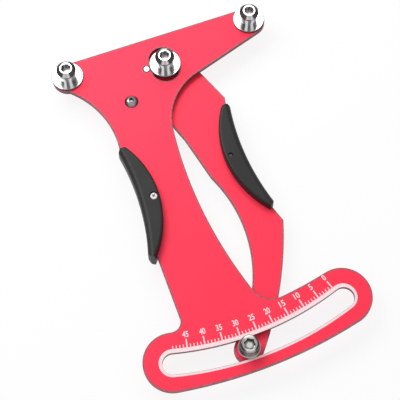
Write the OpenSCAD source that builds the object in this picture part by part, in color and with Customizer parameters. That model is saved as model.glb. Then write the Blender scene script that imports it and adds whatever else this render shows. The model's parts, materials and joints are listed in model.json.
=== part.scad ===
// Spoke tension meter: a T-shaped plate with two fixed posts, and behind it a
// sprung hand lever that carries the third post and, at its far end, the
// pointer of an arc scale. Millimetres. It lies on its back: +Y runs from the
// scale to the posts, +Z out of the printed face. The origin is the centre of
// the part's base.

/* [Posts] */
// Distance between the axes of the two fixed posts
post_span = 114; // [100:1:128]
// Diameter of the flange disc under each post
flange_d = 18.6; // [16:0.2:19]
// Thickness of the flange disc
flange_t = 1; // [0.6:0.1:2]
// Largest diameter of a post, just under its shoulder
post_head_d = 11.4; // [10:0.2:13]
// Diameter of a post at its foot, where the spoke bears
post_foot_d = 9.2; // [7.6:0.2:9.8]
// Height of a post above its flange disc
post_h = 9.2; // [7:0.2:13]
// Height of the sloping shoulder at the top of a post
post_shoulder_h = 1.7; // [1:0.1:2.4]
// Diameter of the flat ring round a post's socket
post_ring_d = 7.2; // [6.6:0.2:8.6]
// Hexagon socket of a post, across flats
post_socket_af = 5; // [4:0.5:5.5]
// Depth of a post's socket
post_socket_depth = 3.6; // [2:0.2:5]
// Diameter of the threaded stud below a post
stud_d = 6; // [4:0.5:6]
// Across flats of the nuts behind the plates
nut_af = 10; // [8:0.5:11]
// Thickness of the nuts behind the plates
nut_t = 3.2; // [2.4:0.2:4]
// Length of thread that stands out of a nut
thread_proud = 0.9; // [0.4:0.1:1.5]

/* [Front plate] */
// Thickness of both sheet plates
plate_t = 2.5; // [2:0.1:4]
// Radius of the two rounded wing ends
wing_r = 9.2; // [8.6:0.1:10]
// Distance of the top edge above the line of the fixed posts
top_edge_y = 8.2; // [7.4:0.1:9]
// Radius of the hollow under the right wing
waist_r = 36.2; // [34:0.1:38]
// Side offset of that hollow's centre
waist_x = 25.9; // [24:0.1:28]
// Depth of that hollow's centre below the fixed posts
waist_y = 58.2; // [56:0.1:60]
// Radius of the long hollow edge of the shaft, lever's side
shaft_r = 259; // [230:1:300]
// Direction in which the long edge leaves the hollow, degrees
shaft_deg = 7.7; // [6:0.1:9]
// Side offset of the shaft's straight left edge
shaft_left_x = -44.5; // [-47:0.5:-42]
// Radius of the hollow under the left wing
armpit_r = 53.2; // [50:0.2:56]
// Side offset of that hollow's centre
armpit_x = -95.9; // [-97:0.1:-94]
// Depth of that hollow's centre below the fixed posts
armpit_y = 48.2; // [46:0.1:50]
// Fillet between the shaft and the scale, lever's side
fillet_right_r = 13; // [9:0.5:16]
// Fillet between the shaft and the scale, other side
fillet_left_r = 5.8; // [4:0.2:8]

/* [Scale] */
// Distance of the pointer screw from the lever's pivot
pointer_r = 178.5; // [165:0.5:190]
// Half width of the curved slot
slot_half_w = 5.75; // [5:0.05:6.5]
// Swing of one scale division, degrees
unit_deg = 0.642; // [0.55:0.001:0.66]
// Number of divisions of the scale
unit_count = 49; // [40:1:50]
// Angle of the zero line from straight down, degrees
zero_deg = 17.2; // [15:0.1:18]
// Slot beyond the zero line, degrees
slot_past_zero = 0.5; // [0.2:0.1:1]
// Slot beyond the last line, degrees
slot_past_end = 0.2; // [0.2:0.1:1]
// Half width of the band that carries the slot
band_half_w = 16.1; // [14:0.1:18]
// How much nearer the pivot the band's ends lie than the slot's
band_shift = 1; // [0:0.1:2]
// Radius of the band's centre line
band_r = 256.8; // [230:1:300]
// Reading that the lever is drawn at
shown_reading = 28.7; // [0:0.1:50]

/* [Lever] */
// Side offset of the pivot from the middle of the fixed posts
pivot_x = -11.7; // [-14:0.1:-10]
// Depth of the pivot below the line of the fixed posts
pivot_y = -11; // [-13:0.1:-9]
// Distance of the moving post from the pivot
post_arm = 11.4; // [10.6:0.1:13]
// Angle of the moving post from +X at the drawn reading, degrees
post_arm_deg = -3.6; // [-6:0.1:0]
// Half width of the curved window round the moving post
window_half_w = 8.1; // [7.6:0.1:8.3]
// Diameter of the spacer under the moving flange disc
spacer_d = 12; // [10:0.2:12]
// Running gap between the moving flange disc and the front plate
disc_gap = 0.4; // [0.2:0.05:0.8]
// Radius of the rounded tip that carries the pointer screw
tip_r = 8; // [7:0.2:9]
// Radius of the lever round its pivot
hub_r = 10; // [9:0.5:11]
// Radius of the lever round the moving post
post_boss_r = 13.4; // [12:0.2:14]
// Length of the ear that pulls on the spring, from the pivot
ear_len = 23; // [20:0.5:26]
// Direction of the ear at the drawn reading, degrees
ear_deg = 165; // [155:1:170]
// Half width of the ear
ear_half_w = 5.2; // [4.6:0.1:6]

/* [Pivot] */
// Diameter of the pivot screw's shoulder, which the lever turns on
shoulder_d = 6; // [5:0.2:6.4]
// Radial running clearance of the lever's bore
bore_clearance = 0.05; // [0.02:0.01:0.08]
// Diameter of the pivot screw's end, seen in the front plate
pivot_end_d = 4; // [3:0.1:4.2]
// Thickness of the slip washer between the plates
slip_washer_t = 0.8; // [0.5:0.1:1.5]
// Diameter of the slip washers
slip_washer_d = 10; // [9:0.2:10.4]
// Thickness of the washer under the pivot screw's head
back_washer_t = 0.6; // [0.4:0.1:1]
// Axial play of the lever on each side
play = 0.1; // [0.05:0.05:0.2]
// Diameter of the pivot screw's head
pivot_head_d = 11; // [9:0.5:13]
// Height of the pivot screw's head
pivot_head_h = 2.8; // [2.2:0.2:3.4]

/* [Grips] */
// Radius of the grips' inner outline
grip_r = 58; // [56:0.5:62]
// Radius of the grips' outer outline, on the hand's side
grip_out_r = 147; // [120:1:175]
// Width of a grip at its middle
grip_w = 12; // [11:0.2:12.6]
// Length of a grip from its middle towards the scale
grip_low = 35.6; // [33:0.2:36.4]
// Length of a grip from its middle towards the posts
grip_up = 33; // [31:0.2:34]
// Direction of the plate's grip, from its centre to its middle, degrees
grip_left_deg = -3.5; // [-5:0.5:-1]
// Direction of the lever's grip, from its centre to its middle, degrees
grip_right_deg = 181.5; // [180:0.5:184]
// Height of a grip half over its plate
grip_h = 5.5; // [4.5:0.1:6.5]
// Radius of the rounded edges on the plate's side
grip_edge_r = 1.5; // [1:0.1:2]
// Radius of the rounded edges on the hand's side
grip_palm_r = 3.4; // [2:0.1:4]
// Plastic outside the plate's edge
grip_skirt = 2; // [1.6:0.1:2.4]
// Distance of the lever grip's inner side from the middle, along X
grip_right_x = 11.419875; // [10:0.2:13]
// Distance of the lever grip's middle below the fixed posts
grip_right_y = 83.018263; // [81:0.5:85]
// Distance of the plate grip's inner side from the middle, along X
grip_left_x = 31.408182; // [30:0.2:33]
// Distance of the plate grip's middle below the fixed posts
grip_left_y = 91.040815; // [89:0.5:93]
// Place of the plate grip's screw, degrees above its middle
screw_left_up = -0.7; // [-3:0.1:3]
// Place of the lever grip's screw, degrees above its middle
screw_right_up = 1.8; // [-3:0.1:3]
// Distance of the screws inside the grip's inner outline
grip_screw_in = 3.4; // [3.2:0.1:3.8]
// Diameter of a grip screw's shank
grip_screw_d = 2.6; // [2:0.1:3]
// Diameter of a grip screw's pan head
grip_screw_head_d = 4.6; // [4:0.1:5]
// Height of a grip screw's pan head
grip_screw_head_h = 1.4; // [1:0.1:1.8]

/* [Pointer screw] */
// Diameter of the pointer screw's head
pointer_head_d = 12.2; // [11.8:0.1:14]
// Height of the pointer screw's head
pointer_head_h = 4.4; // [3:0.2:5]
// Hexagon socket of the pointer screw, across flats
pointer_socket_af = 4; // [3:0.5:5]
// Diameter of the sleeve that runs in the slot
sleeve_d = 9; // [8:0.2:9.6]
// Diameter of the pointer screw's thread
pointer_d = 5; // [4:0.5:6]
// Across flats of the pointer screw's nut
pointer_nut_af = 8; // [7.5:0.5:10]

/* [Spring] */
// Side offset of the screw that anchors the spring
anchor_x = -27; // [-29:0.5:-25]
// Depth of the anchor screw below the fixed posts
anchor_y = -28.6; // [-31:0.2:-27]
// Diameter of the anchor screw's button head
anchor_head_d = 8; // [7:0.2:9.5]
// Height of the anchor screw's button head
anchor_head_h = 2.4; // [1.8:0.1:3]
// Diameter of the spring's hook pins in their grooves
pin_groove_d = 4.2; // [3.6:0.2:5]
// Diameter of the hook pins beside their grooves
pin_d = 6.4; // [5.6:0.2:7]
// Wire of the spring
wire_d = 0.8; // [0.6:0.05:0.9]
// Radius of the spring's wire centre line
coil_r = 2.1; // [1.8:0.1:2.3]
// Curls of the spring
curls = 12; // [8:1:14]

/* [Hidden] */
$fn = 96;
fit = 0.1; // radial clearance of a bolt, sleeve or washer
drawn_reading = 28.7; // reading at which the lever's angles are given

// Levels, with z = 0 on the printed face
plate_back = -plate_t;
lever_top = plate_back - slip_washer_t - 2 * play;
lever_back = lever_top - plate_t;
washer_back = lever_back - play - back_washer_t;
base_z = lever_back - grip_h;
pin_end = base_z + 0.5;
spring_z = pin_end + 1.2 + wire_d / 2 + 0.45;
groove_half = wire_d / 2 + 0.35;

pivot = [pivot_x, pivot_y];
lever_turn = (drawn_reading - shown_reading) * unit_deg;
moving = pivot + post_arm * [cos(post_arm_deg), sin(post_arm_deg)];
slot_start = zero_deg - unit_count * unit_deg - slot_past_end;
slot_end = zero_deg + slot_past_zero;
pointer_deg = zero_deg - drawn_reading * unit_deg;
pointer = pivot + from_down(pointer_r, pointer_deg);
anchor = [anchor_x, anchor_y];
ear_drawn = pivot + ear_len * [cos(ear_deg), sin(ear_deg)];
ear_tip = pivot + ear_len * [cos(ear_deg + lever_turn), sin(ear_deg + lever_turn)];

// The band of the scale: a ring sector through the two band ends
band_a = pivot + from_down(pointer_r - band_shift, slot_start);
band_b = pivot + from_down(pointer_r - band_shift, slot_end);
band_c = arc_centre(band_a, band_b, band_r);

// Outline of the front plate. Where an edge runs on into an arc, the two
// cross by "lap", so that they always meet
lap = 0.02;
left_wing = [-post_span / 2, top_edge_y - wing_r];
right_wing = [post_span / 2, top_edge_y - wing_r];
waist = [waist_x, -waist_y];
// The right wing's lower edge touches the wing's end and the hollow
wing_slope = acos((wing_r + waist_r) / norm(waist - right_wing))
    - atan((right_wing - waist)[0] / (right_wing - waist)[1]);
wing_foot = right_wing + (wing_r - lap) * [sin(wing_slope), -cos(wing_slope)];
waist_head = waist + (waist_r - lap) * [-sin(wing_slope), cos(wing_slope)];
shaft_c = waist + (shaft_r - waist_r) * [cos(shaft_deg), -sin(shaft_deg)];
armpit = [armpit_x, -armpit_y];
band_top_r = band_r - band_half_w;
right_fillet = circles_meet(shaft_c, shaft_r - fillet_right_r,
    band_c, band_top_r - fillet_right_r);
left_fillet = fillet_centre(
    [shaft_left_x - fillet_left_r, -100], [0, -1], band_c,
    band_top_r - fillet_left_r);

// Grips: the middles of their inner outlines, and the outlines' centres
grip_right_mid = [grip_right_x, -grip_right_y];
grip_left_mid = [-grip_left_x, -grip_left_y];
grip_right = grip_right_mid - grip_r * [cos(grip_right_deg), sin(grip_right_deg)];
grip_left = grip_left_mid - grip_r * [cos(grip_left_deg), sin(grip_left_deg)];
edge_r = grip_out_r + grip_skirt; // the plates' edge under the grips
grip_left_out = grip_out_centre(grip_left, grip_left_deg);
grip_right_out = grip_out_centre(grip_right, grip_right_deg);
// Where the plate's edge under its grip runs on into the shaft's edge
edge_end_y = grip_left_out[1]
    - sqrt(edge_r * edge_r - pow(shaft_left_x - grip_left_out[0], 2));
mid_z = -plate_t / 2; // where two grip halves meet, below the plate's face

// The lever's far half lies between two arcs that end tangent to its tip
outer_arc = [-169, -58.6];
inner_arc = [-77, -121];
inner_top_deg = 22.8;
outer_arc_r = norm(pointer - outer_arc) + tip_r;
inner_arc_r = norm(pointer - inner_arc) - tip_r;
inner_top = inner_arc + inner_arc_r * [cos(inner_top_deg), sin(inner_top_deg)];
lever_waist = [-5.5, -60.8];
lever_peak = [28.1, -49.5];

function from_down(r, a) = [r * sin(a), -r * cos(a)];
function unit(v) = v / norm(v);
function turn_left(v) = [-v[1], v[0]];
// Centre of the arc of radius r from p to q, on its upper side
function arc_centre(p, q, r) =
    (p + q) / 2 + turn_left(unit(q - p)) * sqrt(r * r - pow(norm(q - p) / 2, 2));
// Point on the line p + t * d, past p, at the distance r from c
function fillet_centre(p, d, c, r) =
    let (m = p - c, b = m * d) p + d * (-b + sqrt(b * b - m * m + r * r));
// Point where the tangent from q touches a circle, on the side asked
function touch(c, r, q, side) =
    let (w = q - c, a = atan2(w[1], w[0]) + side * acos(r / norm(w))) c + r * [cos(a), sin(a)];
// Lower crossing of the circles about c and d
function circles_meet(c, rc, d, rd) =
    let (w = d - c, l = norm(w), a = (rc * rc - rd * rd + l * l) / (2 * l),
        h = sqrt(rc * rc - a * a), m = c + a * w / l, t = turn_left(w / l) * h)
    (m + t)[1] < (m - t)[1] ? m + t : m - t;

// Origin: centre of the base of the whole part's box
box_x = [
    min(-post_span / 2 - max(wing_r, flange_d / 2), band_a[0] - band_half_w),
    max(post_span / 2 + max(wing_r, flange_d / 2), band_b[0] + band_half_w)];
box_y = [
    band_c[1] - band_r - band_half_w,
    max(top_edge_y, flange_d / 2)];
origin = [(box_x[0] + box_x[1]) / 2, (box_y[0] + box_y[1]) / 2, base_z];

module placed() { translate(-origin) children(); }

// Children given in the lever's drawn position, turned to the shown reading
module on_lever() {
    placed() translate(pivot) rotate(lever_turn) translate(-pivot) children();
}

module at(p) { translate([p[0], p[1], 0]) children(); }

// A plate or ring between two levels
module slab(z0, z1) {
    translate([0, 0, min(z0, z1)]) linear_extrude(abs(z1 - z0)) children();
}

module ring2d(ro, ri) {
    difference() { circle(ro); circle(ri); }
}

// A disc, or the bore that it cuts
module disc(p, r, z0, z1) {
    translate([p[0], p[1], min(z0, z1)]) cylinder(r = r, h = abs(z1 - z0));
}

// A slot along an arc about the origin, angles from straight down
module arc_slot(r, hw, a0, a1, z0, z1) {
    intersection() {
        slab(z0, z1) ring2d(r + hw - lap, r - hw + lap);
        slab(z0 - 1, z1 + 1) polygon([[0, 0], from_down(2 * r, a0),
            from_down(2 * r, (a0 + a1) / 2), from_down(2 * r, a1)]);
    }
    disc(from_down(r, a0), hw, z0, z1);
    disc(from_down(r, a1), hw, z0, z1);
}

module hexagon(af, z0, z1) {
    translate([0, 0, min(z0, z1)])
        cylinder(d = af / cos(30), h = abs(z1 - z0), $fn = 6);
}

// Hexagon nut with chamfered corners, from z0 down, round a thread
module nut(z0, af, t, d) {
    difference() {
        intersection() {
            hexagon(af, z0 - t, z0);
            translate([0, 0, z0 - t]) rotate_extrude() polygon([
                [0, 0], [af / 2 - 0.1, 0], [af / 2 + 0.6, 0.55],
                [af / 2 + 0.6, t - 0.55], [af / 2 - 0.1, t], [0, t]]);
        }
        translate([0, 0, z0 - t - 1]) cylinder(d = d + 2 * fit, h = t + 2);
    }
}

// A turned post: cone from foot to shoulder, socket, and its threaded stud
module post(z0, stud_end) {
    rh = post_head_d / 2;
    difference() {
        union() {
            translate([0, 0, z0]) rotate_extrude() polygon([
                [0, 0], [post_foot_d / 2, 0], [post_foot_d / 2, 0.5],
                [rh, post_h - post_shoulder_h - 0.7],
                [rh, post_h - post_shoulder_h], [post_ring_d / 2, post_h],
                [0, post_h]]);
            translate([0, 0, stud_end]) rotate_extrude() polygon([
                [0, 0], [stud_d / 2 - 0.5, 0], [stud_d / 2, 0.5],
                [stud_d / 2, z0 - stud_end], [0, z0 - stud_end]]);
        }
        hexagon(post_socket_af, z0 + post_h - post_socket_depth, z0 + post_h + 1);
        translate([0, 0, z0 + post_h - 0.35]) cylinder(
            r1 = post_socket_af / 2 + 0.1, r2 = post_socket_af / 2 + 0.8, h = 0.7);
    }
}

module flange(z0) {
    translate([0, 0, z0]) rotate_extrude() polygon([
        [stud_d / 2 + fit, 0], [flange_d / 2, 0], [flange_d / 2, flange_t - 0.2],
        [flange_d / 2 - 0.2, flange_t], [stud_d / 2 + fit, flange_t]]);
}

module washer(z0, t, do, di) {
    translate([0, 0, z0]) linear_extrude(t) ring2d(do / 2, di / 2);
}

// Button head with a spherical top above z = 0
module button_head(d, h, af) {
    rim = h * 0.3;
    cap_r = (pow(d / 2 * 0.92, 2) + pow(h - rim, 2)) / (2 * (h - rim));
    difference() {
        rotate_extrude() intersection() {
            translate([0, h - cap_r]) circle(cap_r);
            polygon([[0, 0], [d / 2 - 0.3, 0], [d / 2, 0.3], [d / 2, h * 0.6],
                [d / 2, h + 1], [0, h + 1]]);
        }
        hexagon(af, h * 0.4, h + 1);
    }
}

// The front plate without its holes
module front_blank(z0, z1) {
    band_end = unit(right_fillet - shaft_c);
    disc(left_wing, wing_r, z0, z1);
    disc(right_wing, wing_r, z0, z1);
    disc(band_a, band_half_w, z0, z1);
    disc(band_b, band_half_w, z0, z1);
    intersection() {
        slab(z0, z1) translate(band_c) ring2d(band_r + band_half_w - lap, band_top_r + lap);
        slab(z0 - 1, z1 + 1) polygon([band_c, band_c + 1.5 * (band_a - band_c),
            band_c + [0, -2 * band_r], band_c + 1.5 * (band_b - band_c)]);
    }
    difference() {
        slab(z0, z1) polygon([
            left_wing + [0, wing_r - lap], right_wing + [0, wing_r - lap],
            right_wing, wing_foot, waist_head, waist, right_fillet,
            into_band(right_fillet), into_band(left_fillet), left_fillet,
            [shaft_left_x, left_fillet[1]], [shaft_left_x, edge_end_y + 6],
            [shaft_left_x - 8, edge_end_y + 6], [armpit_x + armpit_r - 12, -60],
            [left_wing[0] - 3, -40], left_wing + [-3, -6], left_wing]);
        disc(waist, waist_r, z0 - 1, z1 + 1);
        // the long edge, between the hollow and the fillet
        intersection() {
            disc(shaft_c, shaft_r - lap, z0 - 1, z1 + 1);
            slab(z0 - 2, z1 + 2) polygon([
                waist + (waist_r + 5) * [-cos(shaft_deg), sin(shaft_deg)],
                waist + 20 * [cos(shaft_deg), -sin(shaft_deg)],
                right_fillet - 20 * band_end,
                right_fillet + (fillet_right_r + 5) * band_end,
                [shaft_left_x, -110]]);
        }
        disc(right_fillet, fillet_right_r, z0 - 1, z1 + 1);
        disc(left_fillet, fillet_left_r + lap, z0 - 1, z1 + 1);
        disc(armpit, armpit_r, z0 - 1, z1 + 1);
        disc(grip_left_out, edge_r, z0 - 1, z1 + 1);
    }
}

// Point inside the band, straight below a fillet's centre
function into_band(p) = band_c + unit(p - band_c) * (band_top_r + 6);

// Centre of a grip's outer outline
function grip_out_centre(c, a) = c - (grip_out_r + grip_w - grip_r) * [cos(a), sin(a)];
// Place of a grip's screw, shared by the grip halves and the plates
function grip_screw_at(c, a, up) =
    c + (grip_r - grip_screw_in) * [cos(a + up), sin(a + up)];
screw_left = grip_screw_at(grip_left, grip_left_deg, screw_left_up);
screw_right = grip_screw_at(grip_right, grip_right_deg, -screw_right_up);

// The front plate: aluminium sheet with the posts' holes, the pivot's
// threaded hole, the curved window of the moving post and the scale's slot
module front_plate() {
    z0 = plate_back - 1;
    window_top = post_arm_deg + drawn_reading * unit_deg;
    window_low = window_top - unit_count * unit_deg - 4;
    color([0.86, 0.12, 0.22]) placed() difference() {
        front_blank(plate_back, 0);
        for (s = [-1, 1]) disc([s * post_span / 2, 0], stud_d / 2 + fit, z0, 1);
        disc(pivot, (pivot_end_d + fit) / 2, z0, 1);
        disc(anchor, 2 + fit, z0, 1);
        at(pivot) rotate(90) arc_slot(post_arm, window_half_w, window_low, window_top, z0, 1);
        at(pivot) arc_slot(pointer_r, slot_half_w, slot_start, slot_end, z0, 1);
        disc(screw_left, grip_screw_d / 2 + fit, z0, 1);
    }
}

// The lever in its drawn position, without its holes
module lever_blank(z0, z1) {
    difference() {
        union() {
            disc(pivot, hub_r, z0, z1);
            disc(moving, post_boss_r, z0, z1);
            disc(ear_drawn, ear_half_w, z0, z1);
            slab(z0, z1) translate(pivot) rotate(ear_deg) translate([0, lap - ear_half_w])
                square([ear_len, 2 * (ear_half_w - lap)]);
            slab(z0, z1) polygon([
                pivot, touch(pivot, hub_r - lap, lever_waist, -1), lever_waist,
                inner_top, inner_top + [15.5, -23.5], inner_top + [24, -23.5],
                grip_right_mid + [34, -6.5], lever_peak,
                touch(moving, post_boss_r - lap, lever_peak, 1), moving]);
            difference() {
                intersection() {
                    disc(outer_arc, outer_arc_r - lap, z0, z1);
                    slab(z0 - 1, z1 + 1) polygon([inner_top + [-30, -0.5],
                        inner_top + [60, -0.5], inner_top + [60, -61],
                        pointer + 18 * unit(pointer - outer_arc),
                        pointer, pointer + 18 * unit(inner_arc - pointer)]);
                }
                disc(inner_arc, inner_arc_r + lap, z0 - 1, z1 + 1);
            }
            disc(pointer, tip_r, z0, z1);
        }
        disc(grip_right_out, edge_r, z0 - 1, z1 + 1);
    }
}

// The lever: aluminium sheet with its running bore and the holes of what it carries
module lever_plate() {
    z0 = lever_back - 1;
    z1 = lever_top + 1;
    color([0.8, 0.08, 0.17]) on_lever() difference() {
        lever_blank(lever_back, lever_top);
        disc(pivot, shoulder_d / 2 + bore_clearance, z0, z1);
        disc(moving, stud_d / 2 + fit, z0, z1);
        disc(pointer, pointer_d / 2 + fit, z0, z1);
        disc(ear_drawn, 1.5 + fit, z0, z1);
        disc(screw_right, grip_screw_d / 2 + fit, z0, z1);
    }
}

module fixed_post(side) {
    color([0.86, 0.87, 0.88]) placed() at([side * post_span / 2, 0])
        post(flange_t, plate_back - nut_t - thread_proud);
}

module fixed_flange(side) {
    color([0.9, 0.9, 0.92]) placed() at([side * post_span / 2, 0]) flange(0);
}

module fixed_nut(side) {
    color([0.7, 0.71, 0.73]) placed() at([side * post_span / 2, 0])
        nut(plate_back, nut_af, nut_t, stud_d);
}

module left_flange() { fixed_flange(-1); }
module left_post() { fixed_post(-1); }
module left_nut() { fixed_nut(-1); }
module right_flange() { fixed_flange(1); }
module right_post() { fixed_post(1); }
module right_nut() { fixed_nut(1); }

// Shoulder screw from behind: the lever turns on its shoulder, and its end
// is screwed through the front plate
module pivot_screw() {
    color([0.82, 0.83, 0.85]) placed() at(pivot) difference() {
        translate([0, 0, washer_back - pivot_head_h]) rotate_extrude() polygon([
            [0, 0], [pivot_head_d / 2 - 0.5, 0], [pivot_head_d / 2, 0.5],
            [pivot_head_d / 2, pivot_head_h], [shoulder_d / 2, pivot_head_h],
            [shoulder_d / 2, plate_back - washer_back + pivot_head_h],
            [pivot_end_d / 2, plate_back - washer_back + pivot_head_h],
            [pivot_end_d / 2, -washer_back + pivot_head_h - 0.2],
            [pivot_end_d / 2 - 0.4, -washer_back + pivot_head_h + 0.15],
            [0, -washer_back + pivot_head_h + 0.15]]);
        hexagon(4, washer_back - pivot_head_h - 1, washer_back - 0.8);
    }
}

module slip_washer() {
    color([0.93, 0.93, 0.9]) placed() at(pivot)
        washer(plate_back - slip_washer_t - play, slip_washer_t, slip_washer_d, shoulder_d + 2 * fit);
}

module back_washer() {
    color([0.78, 0.79, 0.8]) placed() at(pivot)
        washer(washer_back, back_washer_t, slip_washer_d, shoulder_d + 2 * fit);
}

// Button head screw in the front plate, into the spring's anchor pin
module anchor_screw() {
    color([0.35, 0.34, 0.35]) placed() at(anchor) {
        button_head(anchor_head_d, anchor_head_h, 2.5);
        translate([0, 0, plate_back - 3.5]) cylinder(d = 4, h = plate_t + 3.5 + 0.01);
    }
}

// A pin with the groove that a spring hook lies in, from z1 down
module hook_pin(z1) {
    translate([0, 0, pin_end]) rotate_extrude() polygon([
        [0, 0], [pin_d / 2 - 0.3, 0], [pin_d / 2, 0.3],
        [pin_d / 2, spring_z - groove_half - pin_end],
        [pin_groove_d / 2, spring_z - groove_half - pin_end],
        [pin_groove_d / 2, spring_z + groove_half - pin_end],
        [pin_d / 2, spring_z + groove_half - pin_end],
        [pin_d / 2, z1 - pin_end], [0, z1 - pin_end]]);
}

module anchor_pin() {
    color([0.75, 0.76, 0.78]) placed() at(anchor) difference() {
        hook_pin(plate_back);
        translate([0, 0, plate_back - 4]) cylinder(d = 4 + 2 * fit, h = 5);
    }
}

module ear_pin() {
    color([0.75, 0.76, 0.78]) on_lever() at(ear_drawn) {
        hook_pin(lever_back);
        translate([0, 0, lever_back - 0.01]) cylinder(d = 3, h = plate_t + 0.01);
    }
}

// Extension spring between the two pins. Its wire is one tube along the path
// p(s, a, b): s along the line from anchor to ear, a across it, b upwards. The
// hooks are circles round the pins; the body is the helix
// a = coil_r cos t, b = coil_r sin t.
hook_r = pin_groove_d / 2 + wire_d / 2 + 0.12;
hook_steps = 9;
rings_per_curl = 8;
spring_len = norm(ear_tip - anchor);
body_start = hook_r + 1.2;
body_len = spring_len - 2 * body_start;
spring_dir = unit(ear_tip - anchor);
spring_side = turn_left(spring_dir);
function hook(from_a, to_a, s0) = [for (i = [0 : hook_steps])
    let (a = from_a + (to_a - from_a) * i / hook_steps)
    [s0 + hook_r * cos(a), hook_r * sin(a), 0]];
function body() = [for (i = [0 : curls * rings_per_curl])
    let (t = 180 + 360 * i / rings_per_curl, f = i / (curls * rings_per_curl))
    [body_start + body_len * f, coil_r * cos(t), coil_r * sin(t)]];
spring_path = [for (p = concat(hook(60, 300, 0), body(), hook(240, 480, spring_len)))
    let (q = anchor + spring_dir * p[0] + spring_side * p[1]) [q[0], q[1], spring_z + p[2]]];

function tangent(path, i) =
    unit(path[min(i + 1, len(path) - 1)] - path[max(i - 1, 0)]);
// Normals carried along the path, so that the tube does not twist
function carried(path, n, i = 0, out = []) = i == len(path) ? out :
    let (t = tangent(path, i), m = unit(n - t * (n * t)))
    carried(path, m, i + 1, concat(out, [m]));
module tube(path, r, sides) {
    ns = carried(path, [0, 0.3, 1]);
    pts = [for (i = [0 : len(path) - 1], k = [0 : sides - 1])
        let (t = tangent(path, i), a = 360 * k / sides)
        path[i] + r * (cos(a) * ns[i] + sin(a) * cross(t, ns[i]))];
    walls = [for (i = [0 : len(path) - 2], k = [0 : sides - 1])
        let (a = i * sides + k, b = i * sides + (k + 1) % sides)
        each [[a, b, a + sides], [b, b + sides, a + sides]]];
    last = (len(path) - 1) * sides;
    ends = [for (k = [1 : sides - 2]) each [[0, k + 1, k], [last, last + k, last + k + 1]]];
    polyhedron(concat(pts), [for (f = concat(walls, ends)) [f[0], f[2], f[1]]]);
}
// Least distance between points of the wire that are half a curl apart or more
wire_gap = min([for (i = [0 : len(spring_path) - 1],
    j = [i + 5 : 1 : min(i + 14, len(spring_path) - 1)])
    norm(spring_path[i] - spring_path[j])]) - wire_d;
echo(wire_gap = wire_gap);

module return_spring() {
    color([0.72, 0.73, 0.75]) placed() tube(spring_path, wire_d / 2, 6);
}

// The ends of a grip, in its own axes: x from its centre to its middle, y
// along it. The scale's end slants, and both have cut corners.
grip_ends = [
    [grip_r - 22, -24], [grip_r - 15.6, 3.2 - grip_low], [grip_r - 14.6, 1.2 - grip_low],
    [grip_r - 12.4, -grip_low], [grip_r - 9.7, 2 - grip_low], [grip_r + 4, -24],
    [grip_r + 4, 24], [grip_r - 8.4, grip_up - 2], [grip_r - 11, grip_up],
    [grip_r - 14, grip_up], [grip_r - 15.4, grip_up - 2], [grip_r - 22, 24]];

// Half of a grip on one face of its plate: z = 0 on that face, z up and away.
// It lies inside its inner circle and outside its outer one, with both edges
// rounded. A skirt covers the plate's edge down to the plate's middle.
module grip_half(c, a) {
    o = grip_out_centre(c, a);
    e = grip_edge_r;
    p = grip_palm_r;
    mirrored = cos(a) < 0 ? 1 : 0;
    difference() {
        intersection() {
            at(c) rotate(a) mirror([0, mirrored, 0]) slab(mid_z, grip_h) polygon(grip_ends);
            at(c) rotate_extrude() {
                translate([0, mid_z]) square([grip_r, grip_h - e - mid_z]);
                translate([0, mid_z]) square([grip_r - e, grip_h - mid_z]);
                translate([grip_r - e, grip_h - e]) circle(e);
            }
            at(o) rotate_extrude() {
                translate([grip_out_r, mid_z]) square([40, grip_h - p - mid_z]);
                translate([grip_out_r + p, mid_z]) square([40, grip_h - mid_z]);
                translate([grip_out_r + p, grip_h - p]) circle(p);
            }
        }
        // room for the plate
        intersection() {
            at(o) translate([0, 0, mid_z - 1]) linear_extrude(1 - mid_z)
                ring2d(edge_r + 40, edge_r - fit);
            translate([mirrored ? -100 : shaft_left_x - fit, -200, mid_z - 2])
                cube([200, 200, 2 - mid_z]);
        }
    }
}

// Screw half: a counterbore for the pan head. Thread half: a plain pilot hole.
module grip_screw_half(c, a, p) {
    difference() {
        grip_half(c, a);
        disc(p, grip_screw_d / 2 + fit, mid_z - 1, 20);
        disc(p, grip_screw_head_d / 2 + 2 * fit, grip_h - grip_screw_head_h, 20);
    }
}

module grip_thread_half(c, a, p) {
    difference() {
        grip_half(c, a);
        disc(p, grip_screw_d / 2 + fit, mid_z - 1, 20);
    }
}

// Pan head screw with a cross recess, its head flush with the screw half
module grip_screw(p) {
    tip = -plate_t - grip_h + 0.8;
    under = grip_h - grip_screw_head_h - tip;
    at(p) difference() {
        translate([0, 0, tip]) rotate_extrude() polygon([
            [0, 0], [grip_screw_d / 2 - 0.3, 0], [grip_screw_d / 2, 0.4],
            [grip_screw_d / 2, under], [grip_screw_head_d / 2, under],
            [grip_screw_head_d / 2, grip_h - tip - 0.5],
            [grip_screw_head_d / 2 - 0.7, grip_h - tip], [0, grip_h - tip]]);
        for (r = [45, 135]) rotate(r) translate([-1.2, -0.25, grip_h - 0.8]) cube([2.4, 0.5, 2]);
    }
}

black = [0.09, 0.09, 0.1];
module flip_to(z) { translate([0, 0, z]) mirror([0, 0, 1]) children(); }

module plate_grip_front() {
    color(black) placed() grip_screw_half(grip_left, grip_left_deg, screw_left);
}
module plate_grip_back() {
    color(black) placed() flip_to(plate_back)
        grip_thread_half(grip_left, grip_left_deg, screw_left);
}
module plate_grip_screws() {
    color([0.85, 0.85, 0.86]) placed() grip_screw(screw_left);
}
module lever_grip_front() {
    color(black) on_lever() translate([0, 0, lever_top])
        grip_thread_half(grip_right, grip_right_deg, screw_right);
}
module lever_grip_back() {
    color(black) on_lever() flip_to(lever_back)
        grip_screw_half(grip_right, grip_right_deg, screw_right);
}
module lever_grip_screws() {
    color([0.85, 0.85, 0.86]) on_lever() flip_to(lever_back) grip_screw(screw_right);
}

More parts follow.
